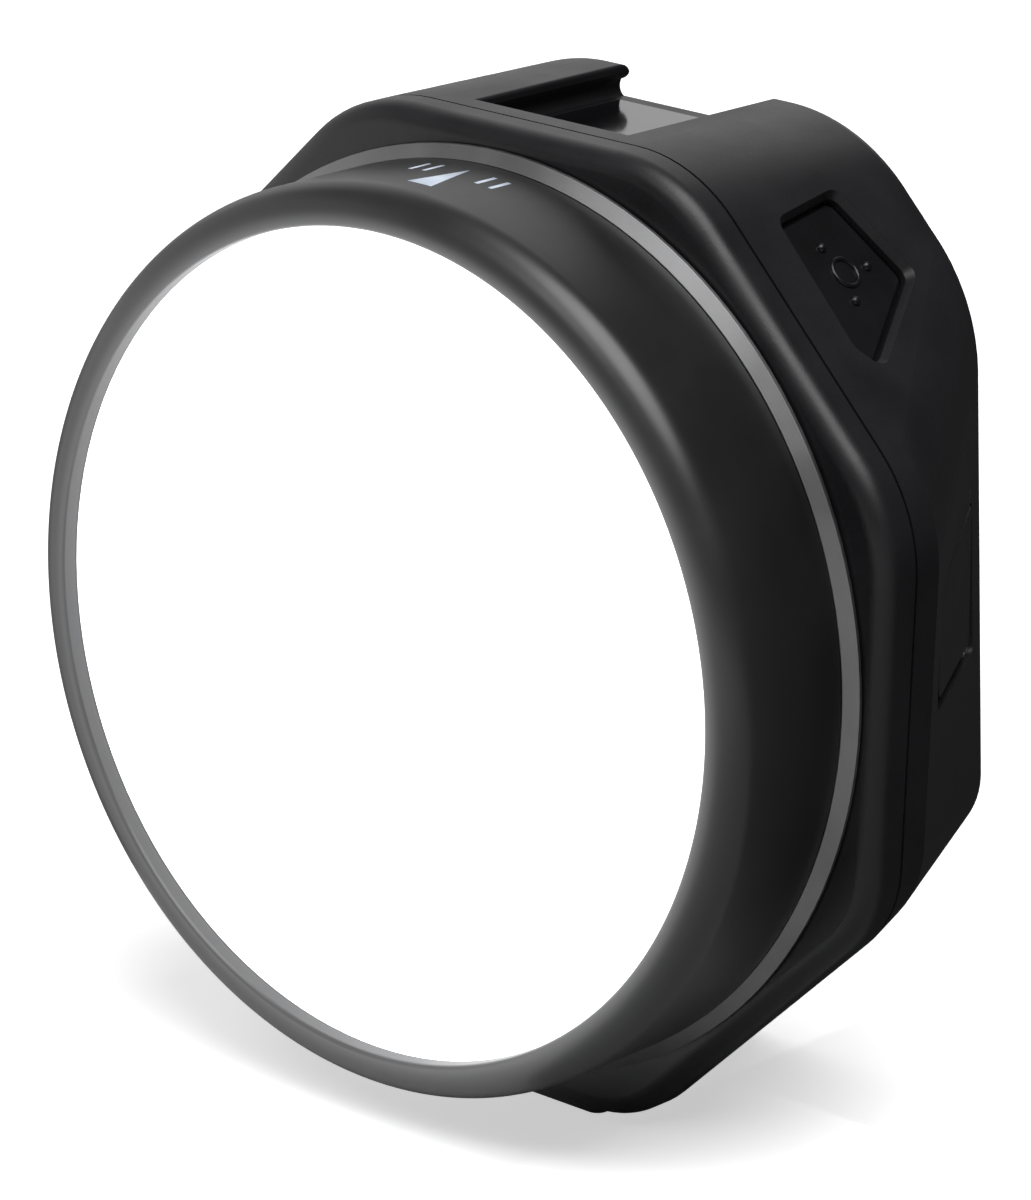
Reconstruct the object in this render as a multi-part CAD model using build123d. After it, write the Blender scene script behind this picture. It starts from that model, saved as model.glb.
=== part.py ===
from build123d import *
import os
from math import cos, radians, sin, sqrt, tan

# Compact fresnel spotlight. Millimetres. The lamp shines along -Y, +Z is up.
# Every piece is modelled round the optical axis (x = z = 0) and raised by AXIS_Z when it is
# written, so the origin ends up on the surface the feet rest on, under the middle of the lamp.

# ---- driving dimensions: stations along the optical axis -----------------------------------
FRONT_Y = -38.5          # front lip of the focus drum
BACK_Y = 40.8            # back of the rear shell
LENS_Y = -35.0           # front face of the lens
TRIM_Y = -12.5           # front of the grey trim ring
FLANGE_Y = -10.3         # front wall of the front shell
RIM_Y = -9.8             # front edge of the octagonal housing
SEAM_Y = -2.5            # joint between the two shells
TAPER_Y = 3.2            # where the sides begin to narrow; the lower facets do so at the seam

# ---- driving dimensions: radii and half widths ---------------------------------------------
DRUM_R = 75.0            # focus drum, outside
WINDOW_R = 68.3          # clear opening in the drum's lip
TRIM_R = 77.1            # trim ring, outside
FACET = 80.5             # axis to each of the eight facets, at the seam
SIDE_BACK = 62.15        # axis to the sides, at the back
SIDE_LEAN = 0.077        # how far the sides lean in per millimetre of height, at the back
LOWER_BACK = 66.2        # axis to the two lower slanted facets, at the back
ROUND_UPPER = (28.0, 34.0)   # rounding between facets, upper corners, at the seam and the back
ROUND_LOWER = (20.0, 12.5)   # rounding between facets, lower corners, at the seam and the back
ROUND_RIM = 3.4          # rounding of the housing's front rim
ROUND_BACK = 2.4         # rounding of the back edge
WALL = 2.5               # shells
GAP = 0.3                # running gap between bodies
FOOT_H = 0.8             # rubber feet below the shell
AXIS_Z = FACET + FOOT_H  # height of the optical axis above the table

# ---- focus mechanism -----------------------------------------------------------------------
TRAVEL = 14.0            # LED carriage, flood to spot
FOCUS_TURN = 90.0        # turn of the drum for that travel, degrees
NECK_IN = 40.5           # drum neck, inside
NECK_OUT = 45.5          # drum neck, outside
CAM_IN = 46.0            # cam sleeve, inside
CAM_OUT = 49.5           # cam sleeve, outside
CAM_FLANGE_R = 50.5      # flange that holds the drum on the front shell
CAM_BACK_Y = 20.0        # back end of the cam sleeve
FOLLOWER_R = 2.0         # cam follower pins
FOLLOWER_ANGLES = (0, 120, 240)
CARRIAGE_R = 40.0        # LED carriage frame
ROD_X = 34.0             # guide rods, either side of the axis
ROD_R = 2.5
BEARING_PLAY = 0.05      # radial play of shafts in their bushes
HOLD_PLAY = 0.02         # radial play round pins, screws and rods that don't move

# ---- cooling -------------------------------------------------------------------------------
SINK_R = 25.5            # heat sink fins, outside
SINK_BACK_Y = 11.3
FAN_HALF = 25.0          # fan frame, half width
FAN_T = 10.0
FAN_Y = BACK_Y - WALL - FAN_T   # front face of the fan
FAN_BLADES = 7

# ---- top channel ---------------------------------------------------------------------------
CHANNEL_Y = 1.8          # closed front end
CHANNEL_HALF = 15.75     # half width between the lips
CHANNEL_DEPTH = 5.8
LIP_OVER = 2.1           # how far each lip overhangs
LIP_T = 2.0
LIP_ROUND = 0.6          # rounding at the mouth of the channel
TROUGH_HALF = 20.5       # shell material round the channel, half width and depth
TROUGH_DEPTH = 8.6

# ---- fasteners and fittings ----------------------------------------------------------------
SHELL_SCREWS = ((-26.5, 72.5), (26.5, 72.5), (-53.0, -22.0), (53.0, -22.0))
SCREW_SEAT_Y = 10.0      # bottom of the deep screw wells in the rear shell
TRIPOD_Y = 12.0          # tripod thread, along the lamp
TRIPOD_R = 3.175         # quarter inch thread
TRIPOD_DEPTH = 8.0
CELL_R = 9.2             # battery cells
CELL_L = 35.0
CELL_RADIUS = 60.5       # axis to the middle of each cell
CELL_ANGLES = (-17.8, 0.0, 17.8)

# ---- buttons: corners on the upper slanted facet, (y, distance up the slope) ----------------
BUTTON_CORNERS = ((7.7, 19.4), (7.0, -3.9), (9.8, -7.9), (28.8, 5.1), (23.4, 21.8))
BUTTON_SINK = 2.0        # top of the cap below the facet
BUTTON_ROUND = 0.8       # rounding of the cap's upper edge
BUTTON_MIDDLE = (16.8, 9.0)
BUTTON_BOARD_DEPTH = 8.0

# ---- charging port door on the right side facet: corners (along the facet, up) --------------
DOOR_CORNERS = ((-14.5, -10.5), (14.5, -9.5), (14.5, 14.5), (-14.5, 8.0))
DOOR_Y = 21.0            # middle of the door
DOOR_Z = 10.0
DOOR_T = 2.2
DOOR_SINK = 0.2
DOOR_AXIS_U = 12.7       # hinge pin, along the facet
DOOR_PIN_V = 2.2         # middle of the pin, above the middle of the door
DOOR_PIN_R = 0.8
RECESS_DEPTH = 3.3
NOTCH = 1.8              # finger slot below the door
PORT_BOARD_DEPTH = 9.5   # circuit board behind the socket


# ---- small helpers ---------------------------------------------------------------------------
def across(y):
    """Sketch plane square to the optical axis at station y, with x to +X and y to +Z."""
    return Plane.XZ.offset(-y)


def slab(sketch, y0, y1):
    """Sketch pushed along the optical axis from y0 to y1."""
    return extrude(across(y0) * sketch, amount=y1 - y0, dir=(0, 1, 0))


def disc(radius, y0, y1, x=0.0, z=0.0):
    """Solid round bar along the optical axis direction."""
    return slab(Pos(x, z) * Circle(radius), y0, y1)


def tube(r_out, r_in, y0, y1, x=0.0, z=0.0):
    """Round tube along the optical axis direction."""
    return slab(Pos(x, z) * (Circle(r_out) - Circle(r_in)), y0, y1)


def turned(points):
    """Solid of revolution about the optical axis, from (radius, y) corners."""
    return revolve(make_face(Polyline(*points, close=True)), axis=Axis.Y)


def block(x0, x1, y0, y1, z0, z1):
    """Straight-sided block between two opposite corners."""
    middle = Pos((x0 + x1) / 2, (y0 + y1) / 2, (z0 + z1) / 2)
    return middle * Box(x1 - x0, y1 - y0, z1 - z0)


def polar(radius, degrees):
    """Point (x, z) at a radius, with the angle clockwise from the top."""
    return radius * sin(radians(degrees)), radius * cos(radians(degrees))


def turn_about_axis(solid, degrees):
    """Copy of a solid turned clockwise, as seen from the front, about the optical axis."""
    return Rot(0, degrees, 0) * solid


def mirrored(solid):
    """The same piece on the other side of the lamp."""
    return mirror(solid, about=Plane.YZ)


def round_edges(solid, radius, y):
    """Solid with every edge that lies in the plane at station y rounded."""
    edges = [e for e in solid.edges() if abs(e.bounding_box().min.Y - y) < 1e-3
             and abs(e.bounding_box().max.Y - y) < 1e-3]
    return fillet(edges, radius)


# ---- housing outline ---------------------------------------------------------------------------
def between(start, end, share):
    """Value part of the way from start to end."""
    return start + (end - start) * share


def section(y, inset=0.0):
    """Rounded octagon of the housing at a station behind the seam, drawn in by an inset."""
    lower_share = max(0.0, (y - SEAM_Y) / (BACK_Y - SEAM_Y))
    side_share = max(0.0, (y - TAPER_Y) / (BACK_Y - TAPER_Y))
    full = FACET - inset
    side = between(FACET, SIDE_BACK, side_share) - inset
    lean = SIDE_LEAN * side_share
    lower = between(FACET, LOWER_BACK, lower_share) - inset
    high_z = (full * sqrt(2) - side) / (1 - lean)
    low_z = (side - lower * sqrt(2)) / (1 + lean)
    right = [(full * sqrt(2) - full, full), (side - lean * high_z, high_z),
             (side - lean * low_z, low_z), (lower * sqrt(2) - full, -full)]
    left = [(-x, z) for x, z in reversed(right)]
    shape = Polygon(*right, *left, align=None)
    high = [v for v in shape.vertices() if v.Y > 0]
    shape = fillet(high, between(*ROUND_UPPER, lower_share) - inset)
    low = [v for v in shape.vertices() if v.Y < 0 and is_corner(v, right)]
    return fillet(low, between(*ROUND_LOWER, lower_share) - inset)


def is_corner(vertex, right):
    """True where a vertex is one of the outline's sharp corners, on either side."""
    return any(abs(abs(vertex.X) - x) < 1e-6 and abs(vertex.Y - z) < 1e-6 for x, z in right)


def seam_outline(inset=0.0):
    """Housing outline at the seam, where it is fullest."""
    return section(SEAM_Y, inset)


def housing_core(y0, y1, inset=0.0):
    """Solid of the housing between two stations, drawn in by an inset."""
    straight = slab(seam_outline(inset), y0, SEAM_Y) if y0 < SEAM_Y else Part()
    stations = [max(y0, SEAM_Y), TAPER_Y, y1]
    ends = [across(y) * section(y, inset) for y in stations]
    return straight + loft(ends, ruled=True)


# ---- front: drum, lens and trim ----------------------------------------------------------------
def focus_drum():
    """Turned drum: lip, sleeve, back wall and the neck that goes through the front shell."""
    inner = DRUM_R - 2.6
    seat = LENS_Y - 0.6
    back = TRIM_Y - GAP
    body = turned([(WINDOW_R, FRONT_Y), (DRUM_R, FRONT_Y), (DRUM_R, back), (NECK_OUT, back),
                   (NECK_OUT, FLANGE_Y + WALL + GAP), (NECK_IN, FLANGE_Y + WALL + GAP),
                   (NECK_IN, back - 2.5), (inner, back - 2.5), (inner, seat), (WINDOW_R, seat)])
    rim = [e for e in body.edges().filter_by(GeomType.CIRCLE)
           if abs(e.radius - DRUM_R) < 1e-6 and abs(e.center().Y - FRONT_Y) < 1e-6]
    body = fillet(rim, 5.5)
    lip = [e for e in body.edges().filter_by(GeomType.CIRCLE)
           if abs(e.radius - WINDOW_R) < 1e-6 and abs(e.center().Y - FRONT_Y) < 1e-6]
    body = fillet(lip, 0.8)
    for x, z in cam_screw_places():
        body -= disc(1.25 + HOLD_PLAY, -12.0, -7.0, x, z)
    return body


def cam_screw_places():
    """Six screws in a ring that join the cam ring to the drum's neck."""
    return [polar((NECK_IN + NECK_OUT) / 2, 30 + 60 * i) for i in range(6)]


def fresnel_lens():
    """Moulded lens: flat front, stepped rings on the back, plain rim."""
    rim_r, rim_back, pitch, rings = DRUM_R - 3.1, LENS_Y + 3.0, 3.0, 22
    points = [(0.0, LENS_Y), (rim_r, LENS_Y), (rim_r, rim_back), (rings * pitch, rim_back)]
    for i in range(rings, 0, -1):
        step = 0.25 + 0.65 * i / rings
        points.append(((i - 0.12) * pitch, rim_back + step))
        points.append(((i - 1) * pitch, rim_back))
    points[-1] = (0.0, rim_back)
    return turned(points)


def lens_gasket():
    """Silicone ring between the lip and the lens."""
    return tube(DRUM_R - 3.1, WINDOW_R + 0.2, LENS_Y - 0.6, LENS_Y)


def lens_retaining_ring():
    """Ring pressed in behind the lens."""
    return tube(DRUM_R - 2.6, 69.5, LENS_Y + 3.0, LENS_Y + 5.0)


def trim_ring():
    """Bevelled metal ring between the drum and the front shell."""
    return turned([(67.5, TRIM_Y), (DRUM_R, TRIM_Y), (TRIM_R, TRIM_Y + 1.6),
                   (TRIM_R, FLANGE_Y), (67.5, FLANGE_Y)])


def glide_ring():
    """Felt friction ring that the drum turns against."""
    return tube(66.0, 52.0, TRIM_Y, FLANGE_Y)


# ---- focus cam ---------------------------------------------------------------------------------
def cam_ring():
    """Sleeve with three helical slots, screwed to the drum's neck from behind."""
    start = FLANGE_Y + WALL + GAP
    ring = tube(CAM_FLANGE_R, NECK_IN, start, start + 2.5)
    ring += tube(CAM_OUT, CAM_IN, start + 2.5, CAM_BACK_Y)
    for x, z in cam_screw_places():
        ring -= disc(1.25 + HOLD_PLAY, start - 1, start + 3, x, z)
    return ring - cam_slots()


def cam_slots():
    """Helical slots as short straight cuts, each along its own stretch of the helix."""
    steps = 9
    mid_r = (CAM_IN + CAM_OUT) / 2
    chord = 2 * mid_r * tan(radians(FOCUS_TURN / steps / 2))
    rise = TRAVEL / steps
    half = FOLLOWER_R + GAP
    slots = Part()
    for first in FOLLOWER_ANGLES:
        for i in range(steps + 1):
            hole = Pos(0, TRAVEL * i / steps, mid_r) * Cylinder(half, 10)
            slots += turn_about_axis(hole, first - FOCUS_TURN * i / steps)
        for i in range(steps):
            length = sqrt(chord ** 2 + rise ** 2)
            slope = Rot(0, 0, -degrees_of(rise, chord))
            cut = Pos(0, rise * (i + 0.5), mid_r) * (slope * Box(length, 2 * half, 10))
            slots += turn_about_axis(cut, first - FOCUS_TURN * (i + 0.5) / steps)
    return slots


def degrees_of(rise, run):
    """Slope angle of a rise over a run."""
    return Vector(run, rise, 0).get_angle(Vector(1, 0, 0))


def cam_screws():
    """Six small screws, heads behind the cam ring's flange."""
    seat = FLANGE_Y + WALL + GAP + 2.5
    return [disc(1.25, -11.8, seat, x, z) + disc(2.2, seat, seat + 1.8, x, z)
            - slab(Pos(x, z) * RegularPolygon(1.0, 6), seat + 0.8, seat + 2)
            for x, z in cam_screw_places()]


# ---- LED carriage ------------------------------------------------------------------------------
def carriage_frame():
    """Ring that holds the heat sink, slides on the rods and carries the cam followers."""
    frame = tube(CARRIAGE_R, SINK_R + 0.5, -2.5, 2.5)
    for side in (-1, 1):
        frame -= disc(4.0 + HOLD_PLAY, -3, 3, side * ROD_X)
    for angle in FOLLOWER_ANGLES:
        frame -= follower(angle, HOLD_PLAY)
    for x, z in sink_screw_places():
        frame -= disc(1.0 + HOLD_PLAY, -3, 1.2, x, z)
    return frame


def follower(angle, grow=0.0):
    """One follower pin, standing out radially from the carriage, or its hole."""
    pin = Pos(0, 0, 40.5) * Cylinder(FOLLOWER_R + grow, 17 + 2 * grow)
    return turn_about_axis(pin, angle)


def cam_followers():
    """Three follower pins."""
    return [follower(angle) for angle in FOLLOWER_ANGLES]


def carriage_bushes():
    """Brass bushes that run on the guide rods."""
    return [tube(4.0, ROD_R + BEARING_PLAY, -2.5, 6.0, side * ROD_X) for side in (-1, 1)]


def sink_screw_places():
    """Four screws from the heat sink's base into the carriage."""
    return [polar(27.7, 45 + 90 * i) for i in range(4)]


def heat_sink():
    """Round base with straight upright fins behind it."""
    sink = disc(29.5, -5.0, -2.5)
    pitch, thick, count = 3.6, 1.2, 13
    fins = Part()
    for i in range(count):
        x = (i - (count - 1) / 2) * pitch
        fins += block(x - thick / 2, x + thick / 2, -2.5, SINK_BACK_Y, -SINK_R, SINK_R)
    sink += fins & disc(SINK_R, -2.5, SINK_BACK_Y)
    for x, z in sink_screw_places():
        sink -= disc(1.0 + HOLD_PLAY, -6, -2, x, z)
    return sink


def sink_screws():
    """Four screws that hold the heat sink on the carriage."""
    return [disc(1.0, -5.0, 1.0, x, z) + disc(1.7, -6.2, -5.0, x, z)
            for x, z in sink_screw_places()]


def thermal_pad():
    """Soft pad between the LED board and the heat sink."""
    return slab(RectangleRounded(28, 28, 1), -5.5, -5.0)


def led_board():
    """Metal-core board that carries the LED array."""
    return slab(RectangleRounded(28, 28, 1), -7.1, -5.5)


def led_emitter():
    """Round phosphor-covered LED array."""
    return disc(9.0, -7.7, -7.1)


def led_holder():
    """Plastic clamp ring over the LED board."""
    return tube(18.5, 9.4, -9.3, -7.1)


def reflector_cup():
    """Thin flared cup in front of the LED."""
    return turned([(9.6, -9.3), (11.0, -9.3), (21.0, -20.0), (20.0, -20.0)])


def guide_rods():
    """Two ground steel rods that the carriage slides on."""
    return [disc(ROD_R, -4.5, BACK_Y - WALL, side * ROD_X) for side in (-1, 1)]


# ---- housing shells ----------------------------------------------------------------------------
def front_solid():
    """Solid front housing: a round plinth behind the trim ring on a rounded octagon."""
    body = round_edges(slab(seam_outline(), RIM_Y, SEAM_Y - 0.25), ROUND_RIM, RIM_Y)
    return body + disc(76.4, FLANGE_Y, RIM_Y)


def front_shell():
    """Front half of the housing, with the bore that the drum's neck turns in."""
    inside = FLANGE_Y + WALL
    shell = front_solid() - slab(seam_outline(WALL), inside, SEAM_Y)
    shell -= disc(NECK_OUT + GAP, FLANGE_Y - 1, SEAM_Y)
    for x, z in SHELL_SCREWS:
        shell += disc(4.2, inside - 0.5, SEAM_Y - 0.25, x, z)
        shell -= disc(1.5 + HOLD_PLAY, inside, SEAM_Y, x, z)
    return shell


def seam_gasket():
    """Rubber gasket in the seam, set back a little from the surface."""
    flat = seam_outline(0.45) - seam_outline(2.2)
    return slab(flat, SEAM_Y - 0.25, SEAM_Y + 0.25)


def channel_section():
    """Half-and-half section of the top channel: lips, scooped sides and a flat floor."""
    lip_z, floor_z = FACET - LIP_T, FACET - CHANNEL_DEPTH
    deep = CHANNEL_HALF + LIP_OVER
    open_half = CHANNEL_HALF + LIP_ROUND
    mouth = ThreePointArc((open_half, FACET), (CHANNEL_HALF + 0.3 * LIP_ROUND, FACET - 0.3 * LIP_ROUND),
                          (CHANNEL_HALF, FACET - LIP_ROUND))
    right = [Line((open_half, FACET + 1), (open_half, FACET)),
             mouth,
             Line((CHANNEL_HALF, FACET - LIP_ROUND), (CHANNEL_HALF, lip_z + LIP_ROUND)),
             ThreePointArc((CHANNEL_HALF, lip_z + LIP_ROUND), (CHANNEL_HALF + 0.6, lip_z - 0.3),
                           (deep - 0.3, lip_z - 1.0)),
             ThreePointArc((deep - 0.3, lip_z - 1.0), (deep, lip_z - 2.0),
                           (deep - 0.9, floor_z)),
             Line((deep - 0.9, floor_z), (0, floor_z)),
             Line((0, floor_z), (0, FACET + 1)),
             Line((0, FACET + 1), (open_half, FACET + 1))]
    half = make_face(Wire(right))
    return half + mirror(half, about=Plane.YZ)


def rear_shell():
    """Rear half of the housing with its channel, button openings, port recess and vents."""
    shell = round_edges(housing_core(SEAM_Y + 0.25, BACK_Y), ROUND_BACK, BACK_Y)
    cavity = housing_core(SEAM_Y - 1, BACK_Y - WALL, WALL)
    cavity -= block(-TROUGH_HALF, TROUGH_HALF, SEAM_Y - 2, BACK_Y, FACET - TROUGH_DEPTH, FACET)
    shell -= cavity
    shell += inside_bosses() & housing_core(SEAM_Y + 0.25, BACK_Y - 1.0, 1.0)
    shell -= slab(channel_section(), CHANNEL_Y, BACK_Y + 1)
    shell -= channel_floor_plate(HOLD_PLAY)
    for opening in (button_opening(), mirrored(button_opening()), port_recess(), vents()):
        shell -= opening
    for x, z in SHELL_SCREWS:
        shell -= disc(3.2, SCREW_SEAT_Y, BACK_Y + 1, x, z)
        shell -= disc(1.6, SEAM_Y, SCREW_SEAT_Y + 1, x, z)
    for side in (-1, 1):
        shell -= disc(ROD_R + HOLD_PLAY, 20, BACK_Y - WALL, side * ROD_X)
    shell -= Pos(0, TRIPOD_Y, -FACET + 3) * Cylinder(5.0 + HOLD_PLAY, 12)
    return shell - door_pin(HOLD_PLAY)


def inside_bosses():
    """Posts and pads inside the rear shell that the inner pieces are fixed to."""
    bosses = Part()
    for x, z in SHELL_SCREWS:
        bosses += disc(4.6, SEAM_Y + 0.25, BACK_Y, x, z)
    for side in (-1, 1):
        bosses += disc(4.8, 29.0, BACK_Y, side * ROD_X)
    bosses += Pos(0, TRIPOD_Y, -FACET + 4.6) * Cylinder(7.5, 9.2)
    for x in (-18, 18):
        for y in (6, 32):
            bosses += Pos(x, y, 66.0) * Cylinder(1.9, 12.8)
    for along, up in ((2.6, 8.0), (25.0, -5.0)):
        post = on_facet(Pos(along, up) * Circle(1.9), BUTTON_BOARD_DEPTH, BUTTON_BOARD_DEPTH - 1.0)
        bosses += post + mirrored(post)
    bosses += on_side(door_outline(2.2), RECESS_DEPTH + 2.0, RECESS_DEPTH + 1.0)
    for along, up in ((-7.0, -5.0), (7.0, 5.0)):
        bosses += on_side(Pos(along, up) * Circle(1.9), PORT_BOARD_DEPTH, 5.0)
    return bosses


def vents():
    """Ring of slots behind the fan."""
    slots = Part()
    for i in range(16):
        slot = Pos(0, BACK_Y, 15.5) * Box(2.6, 2 * WALL + 4, 13)
        slots += turn_about_axis(slot, i * 22.5)
    return slots


# ---- buttons -----------------------------------------------------------------------------------
def facet_plane():
    """Plane of the right upper slanted facet: x runs to the back, y up the slope, z out."""
    reach = FACET / sqrt(2)
    return Plane(origin=(reach, 0, reach), x_dir=(0, 1, 0), z_dir=(1, 0, 1))


def button_outline(grow=0.0, corner=2.2):
    """Five-sided outline of the button, grown or shrunk all round."""
    flat = Polygon(*BUTTON_CORNERS, align=None)
    if grow:
        flat = offset(flat, grow, kind=Kind.INTERSECTION)
    return fillet(flat.vertices(), max(corner + grow * 0.5, 0.6))


def thick(flat, depth, height):
    """Flat sketch set in below its plane by depth and thickened outwards by height."""
    return Pos(0, 0, -depth) * extrude(flat, height, dir=(0, 0, 1))


def on_facet(flat, depth, height):
    """Sketch on the button's facet, set in by depth and thickened outwards by height."""
    return facet_plane() * thick(flat, depth, height)


def on_side(flat, depth, height):
    """Sketch on the port's facet, set in by depth and thickened outwards by height."""
    return door_plane() * thick(flat, depth, height)


def button_opening():
    """Opening for one button, with a bevelled mouth."""
    mouth = loft([facet_plane() * (Pos(0, 0, 0.4) * button_outline(1.2)),
                  facet_plane() * (Pos(0, 0, -1.3) * button_outline(0.0))], ruled=True)
    return mouth + on_facet(button_outline(), 6.0, 6.0)


def button_cap():
    """Rubber cap with a rounded upper edge, its flange, plunger and raised touch marks."""
    flange_depth = WALL + 0.3
    top = thick(button_outline(-0.35), flange_depth, flange_depth - BUTTON_SINK)
    upper = top.faces().sort_by(Axis.Z)[-1].edges()
    cap = facet_plane() * fillet(upper, BUTTON_ROUND * 0.9)
    cap += on_facet(button_outline(1.5), flange_depth + 1.2, 1.2)
    cap += facet_plane() * (Pos(*BUTTON_MIDDLE, -flange_depth - 2.0) * Cylinder(2.0, 1.6))
    mark = facet_plane() * Pos(*BUTTON_MIDDLE, -BUTTON_SINK)
    cap += mark * Torus(2.55, 0.42)
    for turn in (0, 110, 250):
        reach, angle = 5.4, radians(turn)
        spot = Pos(reach * cos(angle), reach * sin(angle), -0.15)
        cap += mark * (spot * Sphere(0.95))
    return cap


def snap_dome():
    """Sprung metal dome that returns one button."""
    cone = Cone(3.0, 1.6, 1.3) - Pos(0, 0, -0.2) * Cone(3.0, 1.6, 1.3)
    return facet_plane() * (Pos(*BUTTON_MIDDLE, -BUTTON_BOARD_DEPTH + 0.65) * cone)


def button_board():
    """Small circuit board under one button."""
    flat = Pos(14.5, 5.0) * RectangleRounded(28, 25, 2)
    return on_facet(flat, BUTTON_BOARD_DEPTH + 1.6, 1.6)


# ---- charging port -----------------------------------------------------------------------------
def door_plane():
    """Plane of the right side facet at the door: x runs to the back, y up, z out."""
    run, drop = BACK_Y - TAPER_Y, FACET - SIDE_BACK + SIDE_LEAN * DOOR_Z
    share = (DOOR_Y - TAPER_Y) / run
    tilt = SIDE_LEAN * share
    return Plane(origin=(FACET - drop * share, DOOR_Y, DOOR_Z),
                 x_dir=(-drop, run, 0), z_dir=(run, drop, tilt * run))


def door_outline(grow=0.0, notch=0.0):
    """Slanted four-sided outline of the port door."""
    corners = [(u, w - notch if i < 2 else w) for i, (u, w) in enumerate(DOOR_CORNERS)]
    flat = Polygon(*corners, align=None)
    if grow:
        flat = offset(flat, grow, kind=Kind.INTERSECTION)
    return fillet(flat.vertices(), 1.6)


def port_recess():
    """Recess for the door with a finger slot, and the hole for the socket."""
    recess = on_side(door_outline(0, NOTCH), RECESS_DEPTH, RECESS_DEPTH + 5)
    return recess + on_side(RectangleRounded(9.4, 3.7, 1.6), 8, 8)


def port_door():
    """Door with a round hinge edge, bored for its pin."""
    flat = door_outline(-0.35) & (Pos(DOOR_AXIS_U - 25, 0) * Rectangle(50, 60))
    door = thick(flat, DOOR_SINK + DOOR_T, DOOR_T)
    axis_depth = DOOR_SINK + DOOR_T / 2
    turned_up = Pos(DOOR_AXIS_U, DOOR_PIN_V, -axis_depth) * Rot(90, 0, 0)
    barrel = turned_up * Cylinder(DOOR_T / 2, 21.0)
    bore = turned_up * Cylinder(DOOR_PIN_R + BEARING_PLAY, 60)
    return door_plane() * (door + barrel - bore)


def door_pin(grow=0.0):
    """Steel pin of the door's hinge, held at both ends by the shell, or its hole."""
    axis_depth = DOOR_SINK + DOOR_T / 2
    pin = Rot(90, 0, 0) * Cylinder(DOOR_PIN_R + grow, 28 + 2 * grow)
    return door_plane() * (Pos(DOOR_AXIS_U, DOOR_PIN_V, -axis_depth) * pin)


def charging_socket():
    """Oval metal socket with its contact tongue."""
    skin = RectangleRounded(9.0, 3.3, 1.5) - RectangleRounded(8.3, 2.6, 1.2)
    shell = thick(skin, PORT_BOARD_DEPTH, PORT_BOARD_DEPTH - RECESS_DEPTH + 0.3)
    back = thick(RectangleRounded(9.0, 3.3, 1.5), PORT_BOARD_DEPTH, 1.0)
    tongue = thick(Rectangle(6.6, 0.7), PORT_BOARD_DEPTH, 5.8)
    return door_plane() * (shell + back + tongue)


def charging_board():
    """Circuit board behind the charging socket."""
    return on_side(RectangleRounded(19, 17, 1.5), PORT_BOARD_DEPTH + 1.4, 1.4)


# ---- fan ---------------------------------------------------------------------------------------
def fan_frame():
    """Square fan frame with its strut cross and axle."""
    back = FAN_Y + FAN_T
    frame = slab(RectangleRounded(2 * FAN_HALF, 2 * FAN_HALF, 3) - Circle(24), FAN_Y, back)
    for i in range(3):
        strut = block(-1.5, 1.5, back - 1.5, back, 4, 25)
        frame += turn_about_axis(strut, 30 + i * 120)
    frame += disc(8.0, back - 1.5, back)
    frame += disc(1.5, FAN_Y + 2.0, back - 1.0)
    for x in (-21, 21):
        for z in (-21, 21):
            frame -= disc(1.6 + HOLD_PLAY, FAN_Y - 1, back + 1, x, z)
    return frame


def fan_rotor():
    """Fan hub and blades, bored to run on the axle."""
    front, back = FAN_Y + 0.6, FAN_Y + FAN_T - 1.9
    rotor = disc(9.0, front, back)
    reach = 22.9
    for i in range(FAN_BLADES):
        blade = Pos(0, (front + back) / 2, 15.5) * (Rot(0, 0, 35) * Box(9.0, 1.2, 16))
        rotor += turn_about_axis(blade, i * 360 / FAN_BLADES)
    rotor &= disc(reach, front, back)
    return rotor - disc(1.5 + BEARING_PLAY, FAN_Y + 1.8, back + 1)


def fan_screws():
    """Four screws through the fan frame into the back wall."""
    screws = []
    for x in (-21, 21):
        for z in (-21, 21):
            screws.append(disc(1.6, FAN_Y, BACK_Y - WALL, x, z) + disc(2.8, FAN_Y - 1.6, FAN_Y, x, z))
    return screws


# ---- electronics and battery -------------------------------------------------------------------
def driver_board():
    """Main circuit board, hung under the channel."""
    return block(-26, 26, 4, 34, 58, 59.6)


def driver_parts():
    """Coils, capacitors and chips on the main board."""
    parts = [Pos(-19, 13, 62.1) * fillet((Box(10, 10, 5)).edges().filter_by(Axis.Z), 2),
             Pos(-19, 25, 62.1) * fillet((Box(10, 10, 5)).edges().filter_by(Axis.Z), 2),
             Pos(-5, 12, 60.4) * Box(7, 7, 1.6),
             Pos(6, 12, 60.2) * Box(5, 6, 1.2),
             Pos(8, 26, 63.6) * (Rot(0, 90, 0) * Cylinder(4.0, 12))]
    for i in range(3):
        parts.append(Pos(-7 + i * 4.5, 30, 60.35) * Box(3, 2, 1.5))
    return parts


def battery_cells():
    """Three short lithium cells side by side."""
    cells = []
    for angle in CELL_ANGLES:
        x, z = polar(CELL_RADIUS, 180 + angle)
        body = disc(CELL_R, -4.0, -4.0 + CELL_L - 1.0, x, z)
        cells.append(body + disc(3.0, -5.0 + CELL_L, -4.0 + CELL_L, x, z))
    return cells


def battery_holder():
    """Tray with two end plates that carries the cells."""
    back = BACK_Y - WALL
    tray = block(-28, 28, -6.0, back, -71.4, -69.8)
    tray += block(-28, 28, -6.0, -4.5, -71.4, -53)
    tray += block(-28, 28, 33.0, back, -71.4, -53)
    tray -= Pos(0, TRIPOD_Y, -70) * Cylinder(8.0, 10)
    return tray & housing_core(-7.0, back, WALL + 0.6)


def battery_contacts():
    """Spring and plate contacts at the ends of the cells."""
    contacts = []
    for angle in CELL_ANGLES:
        x, z = polar(CELL_RADIUS, 180 + angle)
        contacts.append(disc(4.0, -4.5, -4.0, x, z))
        contacts.append(tube(4.0, 2.0, 31.0, 33.0, x, z))
    return contacts


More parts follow.
